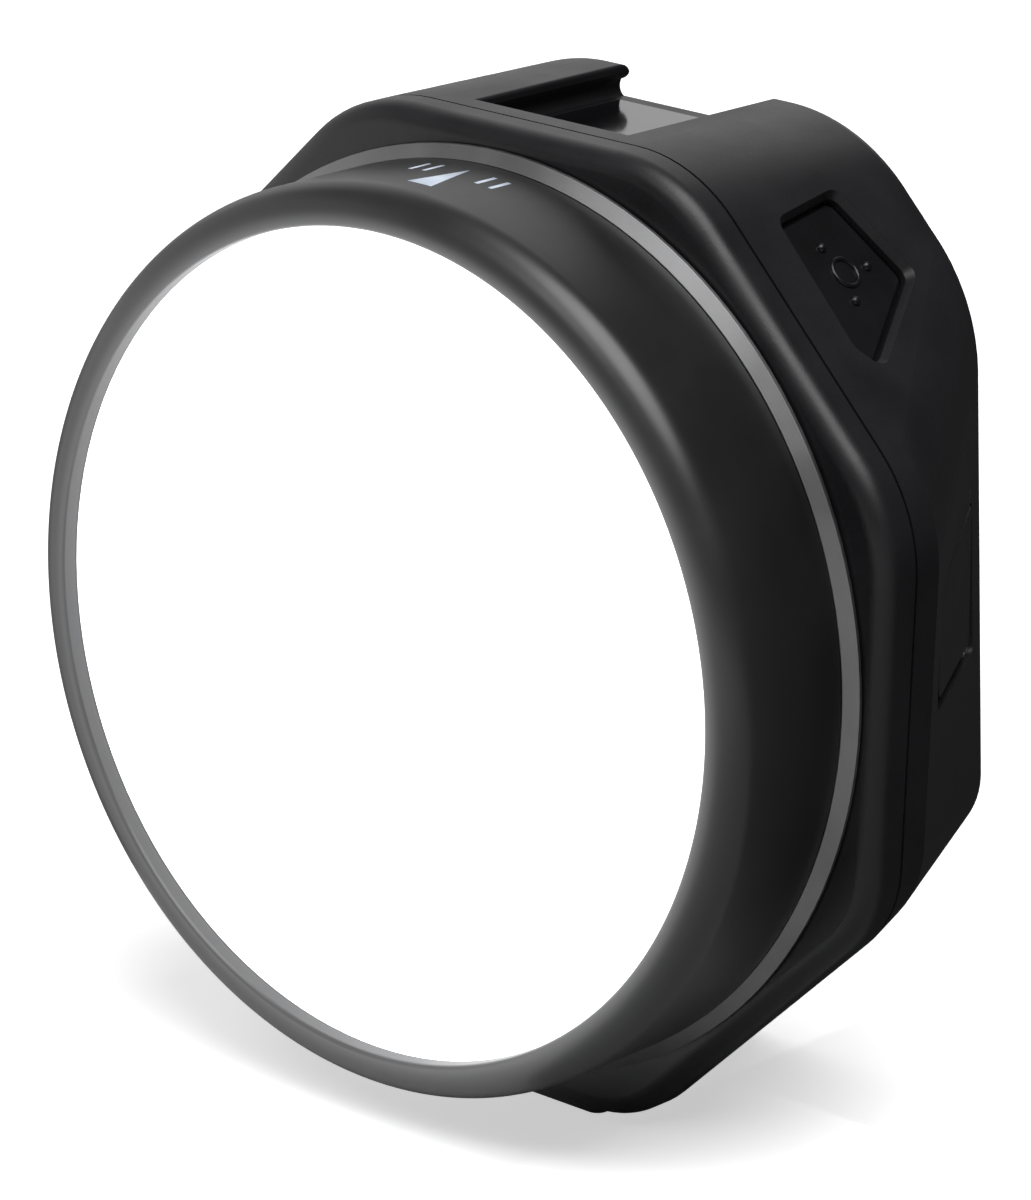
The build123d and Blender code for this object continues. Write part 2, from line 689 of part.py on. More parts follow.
# ---- outside fittings --------------------------------------------------------------------------
def channel_floor_plate(grow=0.0):
    """Polished plate let into the floor of the channel, or its pocket."""
    flat = Pos(0, FACET - CHANNEL_DEPTH - 0.6) * Rectangle(31.0 + 2 * grow, 1.2)
    return slab(flat, CHANNEL_Y + 2.7 - grow, BACK_Y - 2.7 + grow)


def tripod_insert():
    """Brass insert with the tripod thread, flush with the bottom."""
    outer = Cylinder(5.0, TRIPOD_DEPTH + 1) - Pos(0, 0, -1) * Cylinder(TRIPOD_R, TRIPOD_DEPTH + 1)
    return Pos(0, TRIPOD_Y, -FACET + (TRIPOD_DEPTH + 1) / 2) * outer


def shell_screws():
    """Four screws at the bottom of the wells that pull the shells together."""
    screws, seat = [], SCREW_SEAT_Y
    for x, z in SHELL_SCREWS:
        screw = disc(1.5, FLANGE_Y + WALL + 0.3, seat, x, z) + disc(2.9, seat, seat + 2.6, x, z)
        screws.append(screw - slab(Pos(x, z) * RegularPolygon(1.4, 6), seat + 1, seat + 3))
    return screws


def rubber_feet(front):
    """Two long front feet, fitted to the curve of the front shell, and two round rear feet."""
    low, high = -FACET - FOOT_H, -FACET + 3.0
    feet = []
    for side in (-1, 1):
        pad = Pos(side * 17, -5.35, low) * extrude(RectangleRounded(17, 4.9, 2.0), high - low)
        feet.append((pad - front).solids().sort_by(Axis.Z)[0])
        feet.append(Pos(side * 8.0, 29.0, low + FOOT_H / 2) * Cylinder(4.5, FOOT_H))
    return feet


# ---- writing -----------------------------------------------------------------------------------
def write(name, solids):
    """Write one node, raised to its height above the table."""
    group = solids if isinstance(solids, list) else [solids]
    pieces = [Pos(0, 0, AXIS_Z) * piece for shape in group for piece in shape.solids()]
    shape = pieces[0] if len(pieces) == 1 else Compound(pieces)
    export_step(shape, "parts/" + name + ".step")


def both(piece):
    """A right-hand piece and its left-hand twin."""
    return [piece, mirrored(piece)]


def main():
    """Build every piece and write it to its own file."""
    os.makedirs("parts", exist_ok=True)
    front, rear = front_shell(), rear_shell()
    cap = button_cap()
    nodes = {
        "front_shell": front, "rear_shell": rear, "seam_gasket": seam_gasket(),
        "trim_ring": trim_ring(), "glide_ring": glide_ring(),
        "channel_floor_plate": channel_floor_plate(), "guide_rods": guide_rods(),
        "shell_screws": shell_screws(), "tripod_insert": tripod_insert(),
        "rubber_feet": rubber_feet(front),
        "focus_drum": focus_drum(), "fresnel_lens": fresnel_lens(), "lens_gasket": lens_gasket(),
        "lens_retaining_ring": lens_retaining_ring(), "cam_ring": cam_ring(),
        "cam_screws": cam_screws(),
        "carriage_frame": carriage_frame(), "cam_followers": cam_followers(),
        "carriage_bushes": carriage_bushes(), "heat_sink": heat_sink(),
        "sink_screws": sink_screws(), "thermal_pad": thermal_pad(), "led_board": led_board(),
        "led_emitter": led_emitter(), "led_holder": led_holder(),
        "reflector_cup": reflector_cup(),
        "button_cap_right": cap, "button_cap_left": mirrored(cap),
        "button_boards": both(button_board()), "snap_domes": both(snap_dome()),
        "port_door": port_door(), "port_door_pin": door_pin(),
        "charging_socket": charging_socket(), "charging_board": charging_board(),
        "fan_frame": fan_frame(), "fan_rotor": fan_rotor(), "fan_screws": fan_screws(),
        "driver_board": driver_board(), "driver_parts": driver_parts(),
        "battery_cells": battery_cells(), "battery_holder": battery_holder(),
        "battery_contacts": battery_contacts(),
    }
    for name, solids in nodes.items():
        write(name, solids)


main()
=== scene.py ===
"""Looks of a compact fresnel spotlight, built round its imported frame.

Every size is in metres unless its name ends in _mm. The lamp shines along -Y and +Z is up.
"""

import logging
import math
from dataclasses import dataclass, field
from enum import Enum
from typing import Any, Optional, Sequence

import bmesh
import bpy
from mathutils import Matrix, Vector


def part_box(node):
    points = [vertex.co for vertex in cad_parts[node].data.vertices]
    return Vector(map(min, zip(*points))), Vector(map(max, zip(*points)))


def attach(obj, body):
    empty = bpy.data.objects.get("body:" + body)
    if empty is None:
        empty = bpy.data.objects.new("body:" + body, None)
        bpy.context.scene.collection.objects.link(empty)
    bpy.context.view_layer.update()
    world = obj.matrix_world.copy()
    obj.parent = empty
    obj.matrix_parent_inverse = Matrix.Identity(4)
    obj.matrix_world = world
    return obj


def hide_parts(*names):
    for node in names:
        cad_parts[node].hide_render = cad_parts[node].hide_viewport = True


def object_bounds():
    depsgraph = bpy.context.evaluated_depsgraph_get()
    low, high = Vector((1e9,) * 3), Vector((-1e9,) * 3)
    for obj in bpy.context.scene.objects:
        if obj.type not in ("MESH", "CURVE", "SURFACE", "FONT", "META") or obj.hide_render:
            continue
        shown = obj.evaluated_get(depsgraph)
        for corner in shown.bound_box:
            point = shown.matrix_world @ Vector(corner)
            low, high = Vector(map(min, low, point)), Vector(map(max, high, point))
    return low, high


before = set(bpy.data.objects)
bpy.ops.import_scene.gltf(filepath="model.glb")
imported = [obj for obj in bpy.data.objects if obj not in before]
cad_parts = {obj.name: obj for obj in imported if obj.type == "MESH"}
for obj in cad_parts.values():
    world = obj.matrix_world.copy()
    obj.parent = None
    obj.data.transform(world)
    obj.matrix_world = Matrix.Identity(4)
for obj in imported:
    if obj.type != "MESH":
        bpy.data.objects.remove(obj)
cad_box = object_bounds()

MM = 0.001
PATCH_NOISE = (0.35, 0.65)      # range of the slow noise that the patches of colour fill
WEAR_SOURCE = (0.45, 0.95)      # range of the mixed noise that the roughness follows
RELIEF_IN_ROUGHNESS = 0.4       # share of the fine relief in the roughness
WAVES_PER_SCALE = 3.2           # waves that the wave texture draws for each unit of its scale
EDGE_TURN = (1.0, 0.8)          # cosine between flat and rounded normal, face to edge
EDGE_GLOSS = 0.72               # roughness left on a burnished edge
log = logging.getLogger("fresnel_spotlight")


# ---- colour and shader nodes -----------------------------------------------------------------
def linear(hex_code: str) -> tuple[float, float, float, float]:
    """Turn an sRGB hex colour into linear light.

    Args:
        hex_code: Colour as "#rrggbb".

    Returns:
        Red, green, blue and an alpha of one.
    """
    channels = [int(hex_code[i : i + 2], 16) / 255 for i in (1, 3, 5)]
    toe = [c / 12.92 if c <= 0.04045 else ((c + 0.055) / 1.055) ** 2.4 for c in channels]
    return (toe[0], toe[1], toe[2], 1.0)


def add_node(
    tree: bpy.types.NodeTree,
    kind: str,
    settings: Optional[dict[str, Any]] = None,
    inputs: Optional[dict[Any, Any]] = None,
) -> bpy.types.Node:
    """Add a node with its settings, and set or link its inputs.

    Args:
        tree: Node tree that gets the node.
        kind: Blender's identifier of the node.
        settings: Attributes to set on the node.
        inputs: Input name or index, to a plain value or to an output socket to link from.

    Returns:
        The new node.
    """
    node = tree.nodes.new(kind)
    for name, value in (settings or {}).items():
        setattr(node, name, value)
    for key, value in (inputs or {}).items():
        if isinstance(value, bpy.types.NodeSocket):
            tree.links.new(value, node.inputs[key])
        else:
            node.inputs[key].default_value = value
    return node


def blank_tree(owner: bpy.types.Material | bpy.types.World) -> bpy.types.NodeTree:
    """Turn on the node tree of a material or world and empty it.

    Args:
        owner: Material or world.

    Returns:
        Its empty node tree.
    """
    owner.use_nodes = True
    owner.node_tree.nodes.clear()
    return owner.node_tree


class Pattern(Enum):
    """How the fine relief of a surface is laid out."""

    SPARKED = "pits left by spark erosion of the mould"
    TURNED = "fine rings round the optical axis"
    DRAWN = "fine lines along the lamp"
    FIBRES = "matted short fibres"
    WOVEN = "crossed glass threads under the lacquer"
    POLISHED = "smooth, with faint waves"


@dataclass(frozen=True)
class Finish:
    """One surface: what it is made of and how it was made.

    Attributes:
        name: Material's name.
        base: Main colour, sRGB hex.
        accent: Colour of the faintly different patches, sRGB hex.
        roughness: Middle of the roughness.
        spread: How far the roughness wanders to either side.
        pattern: Layout of the fine relief.
        grain_mm: Spacing of the fine relief.
        relief_mm: Height of the fine relief.
        cloud_mm: Size of the patches in which colour and roughness wander.
        metallic: One for bare metal.
        ior: Refractive index, left alone on metal.
        coat: Weight of a clear coat.
        coat_roughness: Roughness of that coat.
        sheen: Weight of the fuzz seen at grazing angles.
        worn_mm: Width of the burnished line along edges, zero for none.
        glow: Strength of the light that the surface gives off.
    """

    name: str
    base: str
    accent: str
    roughness: float
    spread: float = 0.04
    pattern: Pattern = Pattern.SPARKED
    grain_mm: float = 0.3
    relief_mm: float = 0.006
    cloud_mm: float = 14.0
    metallic: float = 0.0
    ior: float = 1.5
    coat: float = 0.0
    coat_roughness: float = 0.1
    sheen: float = 0.0
    worn_mm: float = 0.0
    glow: float = 0.0

    def material(self) -> bpy.types.Material:
        """Return the Blender material, made on the first call."""
        made = bpy.data.materials.get(self.name)
        return made if made else self._make()

    def _make(self) -> bpy.types.Material:
        """Build the node tree of the material.

        Returns:
            The finished material.
        """
        made = bpy.data.materials.new(self.name)
        tree = blank_tree(made)
        place = add_node(tree, "ShaderNodeTexCoord").outputs["Object"]
        height = self._height(tree, place)
        cloud = add_node(tree, "ShaderNodeTexNoise", inputs={
            "Vector": place, "Scale": 1 / (self.cloud_mm * MM), "Detail": 3.0}).outputs["Fac"]
        mixed = add_node(tree, "ShaderNodeMapRange", inputs={
            "Value": cloud, "From Min": PATCH_NOISE[0], "From Max": PATCH_NOISE[1]}).outputs[0]
        tint = add_node(tree, "ShaderNodeMix", {"data_type": "RGBA"}, {
            0: mixed, 6: linear(self.base), 7: linear(self.accent)}).outputs[2]
        rough = self._roughness(tree, cloud, height)
        bump = add_node(tree, "ShaderNodeBump", inputs={
            "Height": height, "Distance": self.relief_mm * MM, "Strength": 1.0}).outputs[0]
        shader = add_node(tree, "ShaderNodeBsdfPrincipled", inputs={
            "Base Color": tint, "Roughness": rough, "Normal": bump,
            "Metallic": self.metallic, "Coat Weight": self.coat,
            "Coat Roughness": self.coat_roughness, "Sheen Weight": self.sheen})
        if not self.metallic:
            shader.inputs["IOR"].default_value = self.ior
        if self.glow:
            tree.links.new(tint, shader.inputs["Emission Color"])
            shader.inputs["Emission Strength"].default_value = self.glow
        add_node(tree, "ShaderNodeOutputMaterial", inputs={"Surface": shader.outputs[0]})
        return made

    def _height(
        self, tree: bpy.types.NodeTree, place: bpy.types.NodeSocket
    ) -> bpy.types.NodeSocket:
        """Build the fine relief.

        Args:
            tree: Node tree of the material.
            place: Position on the piece, in metres.

        Returns:
            Height from 0 to 1.
        """
        per_metre = 1 / (self.grain_mm * MM)
        if self.pattern in (Pattern.TURNED, Pattern.WOVEN):
            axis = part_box("focus_drum")
            middle = (axis[0] + axis[1]) / 2
            centred = add_node(tree, "ShaderNodeVectorMath", {"operation": "SUBTRACT"}, {
                0: place, 1: (middle.x, 0.0, middle.z)}).outputs[0]
            bands = {"wave_type": "RINGS", "rings_direction": "Y"}
            if self.pattern is Pattern.WOVEN:
                bands = {"wave_type": "BANDS", "bands_direction": "DIAGONAL"}
            return add_node(tree, "ShaderNodeTexWave", bands, {
                "Vector": centred, "Scale": per_metre / WAVES_PER_SCALE, "Distortion": 1.5,
                "Detail": 2.0}).outputs["Fac"]
        stretch = {
            Pattern.DRAWN: (1.0, 0.04, 1.0),
            Pattern.FIBRES: (1.0, 0.25, 1.0),
            Pattern.POLISHED: (0.2, 0.2, 0.2),
        }.get(self.pattern, (1.0, 1.0, 1.0))
        scaled = add_node(tree, "ShaderNodeVectorMath", {"operation": "MULTIPLY"}, {
            0: place, 1: [per_metre * s for s in stretch]}).outputs[0]
        return add_node(tree, "ShaderNodeTexNoise", inputs={
            "Vector": scaled, "Scale": 1.0, "Detail": 4.0, "Roughness": 0.62}).outputs["Fac"]

    def _roughness(
        self, tree: bpy.types.NodeTree, cloud: bpy.types.NodeSocket, height: bpy.types.NodeSocket
    ) -> bpy.types.NodeSocket:
        """Build the roughness: it wanders with the patches, and edges are burnished.

        Args:
            tree: Node tree of the material.
            cloud: Slow noise.
            height: Fine relief.

        Returns:
            Roughness.
        """
        mixed = add_node(tree, "ShaderNodeMath", {"operation": "MULTIPLY_ADD"}, {
            0: height, 1: RELIEF_IN_ROUGHNESS, 2: cloud}).outputs[0]
        rough = add_node(tree, "ShaderNodeMapRange", inputs={
            "Value": mixed, "From Min": WEAR_SOURCE[0], "From Max": WEAR_SOURCE[1],
            "To Min": self.roughness - self.spread, "To Max": self.roughness + self.spread,
        }).outputs[0]
        if not self.worn_mm:
            return rough
        rounded = add_node(tree, "ShaderNodeBevel", {"samples": 4}, {
            "Radius": self.worn_mm * MM}).outputs[0]
        flat = add_node(tree, "ShaderNodeNewGeometry").outputs["Normal"]
        turn = add_node(tree, "ShaderNodeVectorMath", {"operation": "DOT_PRODUCT"}, {
            0: rounded, 1: flat}).outputs["Value"]
        edge = add_node(tree, "ShaderNodeMapRange", inputs={
            "Value": turn, "From Min": EDGE_TURN[0], "From Max": EDGE_TURN[1],
            "To Min": 1.0, "To Max": EDGE_GLOSS,
        }).outputs[0]
        return add_node(tree, "ShaderNodeMath", {"operation": "MULTIPLY"}, {
            0: rough, 1: edge}).outputs[0]


# ---- the lamp's finishes -----------------------------------------------------------------------
# Moulded ABS blend from a spark-eroded mould. The grain of such a mould is about 0.1 mm, drawn
# four times coarser so that it shows: a dull black that speckles where light grazes it.
SPARKED_ABS = Finish("spark_eroded_abs", "#121215", "#17171a", 0.42, 0.05,
                     grain_mm=0.42, relief_mm=0.022, worn_mm=0.35)
# Moulded polycarbonate from a finely blasted mould: satin black with long soft highlights.
SATIN_POLYCARBONATE = Finish("satin_polycarbonate", "#101012", "#141416", 0.36, 0.04,
                             grain_mm=0.25, relief_mm=0.004, ior=1.58, worn_mm=0.4)
# Turned aluminium, bead-blasted and anodised clear: an even mid grey with faint rings.
ANODISED_ALUMINIUM = Finish("anodised_aluminium", "#8f8f90", "#9b9b9c", 0.46, 0.05,
                            Pattern.TURNED, 0.35, 0.003, metallic=1.0, worn_mm=0.3)
# Moulded acrylic, lit from behind: its rings vanish in the light it gives off.
LIT_ACRYLIC = Finish("lit_acrylic", "#ffffff", "#fcfdff", 0.12, 0.02,
                     Pattern.TURNED, 3.0, 0.02, ior=1.49, glow=2.0)
# Compression-moulded silicone: soft, slightly greasy black.
SILICONE = Finish("silicone_rubber", "#161618", "#1b1b1d", 0.5, 0.06,
                  grain_mm=0.4, relief_mm=0.006, ior=1.41, sheen=0.15)
# Silicone key cap from a polished mould, with clear speculars on its raised marks.
SILICONE_KEY = Finish("silicone_key", "#0c0c0e", "#111114", 0.3, 0.05,
                      grain_mm=0.35, relief_mm=0.003, ior=1.43, worn_mm=0.4)
# Pressed wool felt: no gloss, short fibres.
PRESSED_FELT = Finish("pressed_felt", "#1d1d1e", "#2a2a2b", 0.95, 0.04,
                      Pattern.FIBRES, 0.25, 0.12, sheen=0.6)
# Polished acrylic sheet: deep gloss with faint waves.
POLISHED_ACRYLIC = Finish("polished_acrylic", "#0c0c0e", "#111113", 0.12, 0.03,
                          Pattern.POLISHED, 2.0, 0.002, ior=1.49, coat=0.4, coat_roughness=0.05)
# Centreless-ground steel: bright with fine rings.
GROUND_STEEL = Finish("ground_steel", "#b4b5b8", "#a3a4a8", 0.26, 0.05,
                      Pattern.TURNED, 0.3, 0.002, metallic=1.0)
# Black zinc-plated screws: dark metal, faintly oily.
BLACK_ZINC = Finish("black_zinc_steel", "#35353a", "#46464c", 0.34, 0.06,
                    grain_mm=0.3, relief_mm=0.003, metallic=1.0, worn_mm=0.2)
# Free-machining brass straight from the lathe.
TURNED_BRASS = Finish("turned_brass", "#b8924a", "#a57f3b", 0.28, 0.05,
                      Pattern.TURNED, 0.3, 0.004, metallic=1.0)
# Acetal, moulded: waxy dark grey.
ACETAL = Finish("moulded_acetal", "#2b2b2d", "#333335", 0.38, 0.04,
                grain_mm=0.5, relief_mm=0.004, ior=1.48)
# Extruded and machined aluminium, black anodised on the fins' base, bare on the cuts.
MACHINED_ALUMINIUM = Finish("machined_aluminium", "#a9abae", "#93959a", 0.38, 0.06,
                            Pattern.DRAWN, 0.25, 0.004, metallic=1.0)
# Glass-epoxy laminate under green lacquer: the weave shows through.
GLASS_EPOXY = Finish("glass_epoxy_board", "#0e3a26", "#145036", 0.3, 0.05,
                     Pattern.WOVEN, 0.5, 0.006, ior=1.54, coat=0.5)
# White solder mask on a metal-core board.
WHITE_MASK = Finish("white_solder_mask", "#e6e6e2", "#f0f0ee", 0.34, 0.05,
                    grain_mm=0.4, relief_mm=0.003, ior=1.54)
# Phosphor in clear silicone.
PHOSPHOR = Finish("phosphor_silicone", "#e3c34a", "#eccf62", 0.45, 0.05,
                  grain_mm=0.2, relief_mm=0.01, ior=1.41)
# Plastic coated with aluminium vapour: a soft mirror.
VAPOUR_MIRROR = Finish("vapour_coated_mirror", "#dcdde0", "#d2d3d6", 0.12, 0.03,
                       Pattern.POLISHED, 1.5, 0.002, metallic=1.0)
# Filled silicone sheet, grey-blue and dull.
THERMAL_SILICONE = Finish("thermal_silicone", "#7f8c99", "#8a96a2", 0.7, 0.05,
                          grain_mm=0.4, relief_mm=0.02, ior=1.41)
# Heat-shrunk film over a cell: glossy blue, slightly rippled.
SHRINK_FILM = Finish("shrink_film", "#1d4a73", "#225580", 0.22, 0.05,
                     Pattern.POLISHED, 3.0, 0.02, ior=1.53, coat=0.3)
# Glass-filled polyester: dull black with swirls of fibre.
GLASS_FILLED = Finish("glass_filled_polyester", "#1a1a1b", "#252526", 0.52, 0.07,
                      Pattern.FIBRES, 0.3, 0.006, ior=1.57)
# Epoxy-moulded electronic parts.
MOULDED_EPOXY = Finish("moulded_epoxy", "#1f1f21", "#29292b", 0.45, 0.06,
                       grain_mm=0.3, relief_mm=0.008, ior=1.55)
# Nickel-plated spring steel.
NICKEL_SPRING = Finish("nickel_spring_steel", "#c9c6bd", "#bab7ae", 0.2, 0.04,
                       Pattern.POLISHED, 1.0, 0.002, metallic=1.0)
# Pad-printed ink, cool white, with the faint mottle of a thin film.
PRINTED_INK = Finish("pad_printed_ink", "#d5dfec", "#c9d4e3", 0.42, 0.05,
                     grain_mm=0.3, relief_mm=0.004)


# ---- mesh helpers ------------------------------------------------------------------------------
Point = tuple[float, float]


def arc(centre: Point, radius: float, start: float, end: float, steps: int) -> list[Point]:
    """Points along a circular arc.

    Args:
        centre: Middle of the arc.
        radius: Radius of the arc.
        start: First angle, degrees.
        end: Last angle, degrees.
        steps: Number of stretches.

    Returns:
        Points from start to end.
    """
    turns = [math.radians(start + (end - start) * i / steps) for i in range(steps + 1)]
    return [(centre[0] + radius * math.cos(t), centre[1] + radius * math.sin(t)) for t in turns]


def mesh_piece(
    name: str, vertices: Sequence[Vector], faces: Sequence[Sequence[int]]
) -> bpy.types.Object:
    """Make a mesh object from vertices and faces, shaded smooth.

    Args:
        name: Piece's name.
        vertices: Points in the row frame.
        faces: Vertex numbers of each face.

    Returns:
        The new object, linked to the scene.
    """
    mesh = bpy.data.meshes.new(name)
    mesh.from_pydata([tuple(v) for v in vertices], [], [list(f) for f in faces])
    shaper = bmesh.new()
    shaper.from_mesh(mesh)
    bmesh.ops.recalc_face_normals(shaper, faces=shaper.faces)
    shaper.to_mesh(mesh)
    shaper.free()
    mesh.shade_smooth()
    piece = bpy.data.objects.new(name, mesh)
    bpy.context.scene.collection.objects.link(piece)
    return piece


def lathe(name: str, profile: Sequence[Point], axis_z: float, segments: int) -> bpy.types.Object:
    """Turn a closed profile about the optical axis.

    Args:
        name: Piece's name.
        profile: Closed outline as (radius, y).
        axis_z: Height of the optical axis.
        segments: Stretches round the axis.

    Returns:
        The turned piece.
    """
    vertices: list[Vector] = []
    faces: list[tuple[int, ...]] = []
    count = len(profile)
    for i in range(segments):
        turn = math.tau * i / segments
        for radius, y in profile:
            vertices.append(Vector((radius * math.sin(turn), y, axis_z + radius * math.cos(turn))))
    for i in range(segments):
        here, there = i * count, (i + 1) % segments * count
        for j in range(count):
            k = (j + 1) % count
            faces.append((here + j, here + k, there + k, there + j))
    return mesh_piece(name, vertices, faces)


def dress(piece: bpy.types.Object, finish: Finish) -> bpy.types.Material:
    """Give a piece one finish all over.

    Args:
        piece: Mesh object, a CAD node or a new piece.
        finish: Finish to use.

    Returns:
        The finish's material.
    """
    material = finish.material()
    piece.data.materials.clear()
    piece.data.materials.append(material)
    return material


# ---- sub-assemblies ----------------------------------------------------------------------------
@dataclass
class Assembly:
    """Part of the lamp: a title, and the finish of each CAD node that stays visible."""

    title: str = ""
    finishes: dict[str, Finish] = field(default_factory=dict)

    def build(self) -> list[bpy.types.Object]:
        """Make the new pieces, none unless a sub-assembly has some."""
        return []

    def dress_nodes(self) -> None:
        """Give every CAD node of this sub-assembly its finish."""
        for node, finish in self.finishes.items():
            dress(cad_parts[node], finish)

    def report(self, pieces: Sequence[bpy.types.Object]) -> None:
        """Log what was built and dressed.

        Args:
            pieces: The new pieces.
        """
        for piece in pieces:
            log.info("%s: built %s, %d faces", self.title, piece.name, len(piece.data.polygons))
        for node in self.finishes:
            log.info("%s: dressed %s", self.title, node)


@dataclass
class FocusDrum(Assembly):
    """Turning drum with its lens and printed focus marks."""

    title: str = "focus drum"
    finishes: dict[str, Finish] = field(default_factory=lambda: {
        "fresnel_lens": LIT_ACRYLIC,
        "lens_gasket": SILICONE,
        "lens_retaining_ring": ACETAL,
        "cam_ring": ACETAL,
        "cam_screws": BLACK_ZINC,
    })
    lip_width: float = 6.7 * MM
    lip_round: float = 5.5 * MM
    edge_round: float = 0.8 * MM
    wall: float = 2.6 * MM
    seat_depth: float = 2.9 * MM
    web: float = 2.5 * MM
    neck_out: float = 45.5 * MM
    neck_in: float = 40.5 * MM
    back_round: float = 0.25 * MM
    running_gap: float = 0.3 * MM
    segments: int = 256
    sharp_angle: float = 40.0
    ink_thickness: float = 0.04 * MM
    ink_sink: float = 0.3
    ink_steps: int = 6
    ink_point: float = 0.02
    mark_middle: float = 15.0 * MM
    mark_length: float = 12.0 * MM
    mark_half_angle: float = 1.9
    tick_angles: tuple[float, ...] = (4.2, 6.4)
    tick_half_angle: float = 0.3
    tick_share: float = 0.4
    # Painted glow on the lip, in place of lens light: end radius, falloff, strength, margin.
    painted_glow_end: float = 73.0 * MM
    painted_glow_power: float = 3.0
    painted_glow_strength: float = 0.12
    painted_glow_margin: float = 0.2 * MM

    def __post_init__(self) -> None:
        """Read the drum's place from the frame."""
        low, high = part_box("focus_drum")
        self.radius: float = (high.x - low.x) / 2
        self.axis_z: float = (low.z + high.z) / 2
        self.front: float = low.y
        self.neck_end: float = high.y
        self.back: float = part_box("glide_ring")[0].y - self.running_gap

    def build(self) -> list[bpy.types.Object]:
        """Make the sleeve and the printed marks.

        Returns:
            The new pieces.
        """
        return [self._sleeve(), self._marks()]

    def _sleeve(self) -> bpy.types.Object:
        """Turn the drum's wall, lip, web and neck in one profile.

        Returns:
            The sleeve, in place of the plain drum.
        """
        window, inner = self.radius - self.lip_width, self.radius - self.wall
        seat, web_front = self.front + self.seat_depth, self.back - self.web
        profile = [(window, seat)]
        profile += arc((window + self.edge_round, self.front + self.edge_round),
                       self.edge_round, 180, 270, 8)
        profile += arc((self.radius - self.lip_round, self.front + self.lip_round),
                       self.lip_round, 270, 360, 24)
        profile += [(self.radius, y)
                    for y in self._stations(self.front + self.lip_round, self.back)]
        profile += arc((self.radius - self.back_round, self.back - self.back_round),
                       self.back_round, 0, 90, 4)
        profile += [(self.neck_out, self.back), (self.neck_out, self.neck_end),
                    (self.neck_in, self.neck_end), (self.neck_in, web_front),
                    (inner, web_front), (inner, seat)]
        sleeve = lathe("drum_sleeve", profile, self.axis_z, self.segments)
        sleeve.data.set_sharp_from_angle(angle=math.radians(self.sharp_angle))
        # The lip of the sleeve gets a painted glow, standing in for the lens's light on it.
        self._paint_lip_glow(dress(sleeve, SATIN_POLYCARBONATE), window, seat)
        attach(sleeve, "drum")
        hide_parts("focus_drum")
        return sleeve

    def _paint_lip_glow(self, material: bpy.types.Material, window: float, seat: float) -> None:
        """Paint a glow of lens light onto the lip, strongest at the lens, gone at the outer edge.

        Args:
            material: The sleeve's material.
            window: Radius where the lip begins.
            seat: Station of the lip's back face.
        """
        # Emission painted by radius on the lip's front: a painted glow, not real lens light.
        tree = material.node_tree
        place = add_node(tree, "ShaderNodeTexCoord")
        spot = add_node(tree, "ShaderNodeSeparateXYZ", inputs={0: place.outputs["Object"]})
        facing = add_node(tree, "ShaderNodeSeparateXYZ", inputs={0: place.outputs["Normal"]})
        height = add_node(tree, "ShaderNodeMath", {"operation": "SUBTRACT"}, {
            0: spot.outputs["Z"], 1: self.axis_z})
        across = add_node(tree, "ShaderNodeCombineXYZ", inputs={
            "X": spot.outputs["X"], "Z": height.outputs[0]})
        reach = add_node(tree, "ShaderNodeVectorMath", {"operation": "LENGTH"}, {
            0: across.outputs[0]})
        share = add_node(tree, "ShaderNodeMapRange", inputs={
            "Value": reach.outputs["Value"], "From Min": self.painted_glow_end, "From Max": window})
        fall = add_node(tree, "ShaderNodeMath", {"operation": "POWER"}, {
            0: share.outputs[0], 1: self.painted_glow_power})
        front = add_node(tree, "ShaderNodeMath", {"operation": "MULTIPLY", "use_clamp": True}, {
            0: facing.outputs["Y"], 1: -self.painted_glow_strength})
        lip = add_node(tree, "ShaderNodeMath", {"operation": "LESS_THAN"}, {
            0: spot.outputs["Y"], 1: seat - self.painted_glow_margin})
        on_lip = add_node(tree, "ShaderNodeMath", {"operation": "MULTIPLY"}, {
            0: front.outputs[0], 1: lip.outputs[0]})
        glow = add_node(tree, "ShaderNodeMath", {"operation": "MULTIPLY"}, {
            0: fall.outputs[0], 1: on_lip.outputs[0]})
        shader = next(n for n in tree.nodes if n.type == "BSDF_PRINCIPLED")
        shader.inputs["Emission Color"].default_value = linear("#ffffff")
        tree.links.new(glow.outputs[0], shader.inputs["Emission Strength"])

    def _stations(self, start: float, end: float, steps: int = 8) -> list[float]:
        """Stations along the sleeve's straight side, both ends left out."""
        return [start + (end - start) * i / steps for i in range(1, steps)]

    def _marks(self) -> bpy.types.Object:
        """Print an index triangle and graduation ticks on top of the sleeve.

        Returns:
            The printed marks as one thin curved piece.
        """
        middle = self.front + self.mark_middle
        front, back = middle - self.mark_length / 2, middle + self.mark_length / 2
        tick_front = back - self.mark_length * self.tick_share
        width = self.tick_half_angle
        vertices: list[Vector] = []
        faces: list[tuple[int, ...]] = []
        self._patch(vertices, faces, 0.0, self.mark_half_angle, self.ink_point, front, back)
        for angle in self.tick_angles:
            for side in (-1, 1):
                self._patch(vertices, faces, side * angle, width, width, tick_front, back)
        marks = mesh_piece("focus_marks", vertices, faces)
        dress(marks, PRINTED_INK)
        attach(marks, "drum")
        return marks

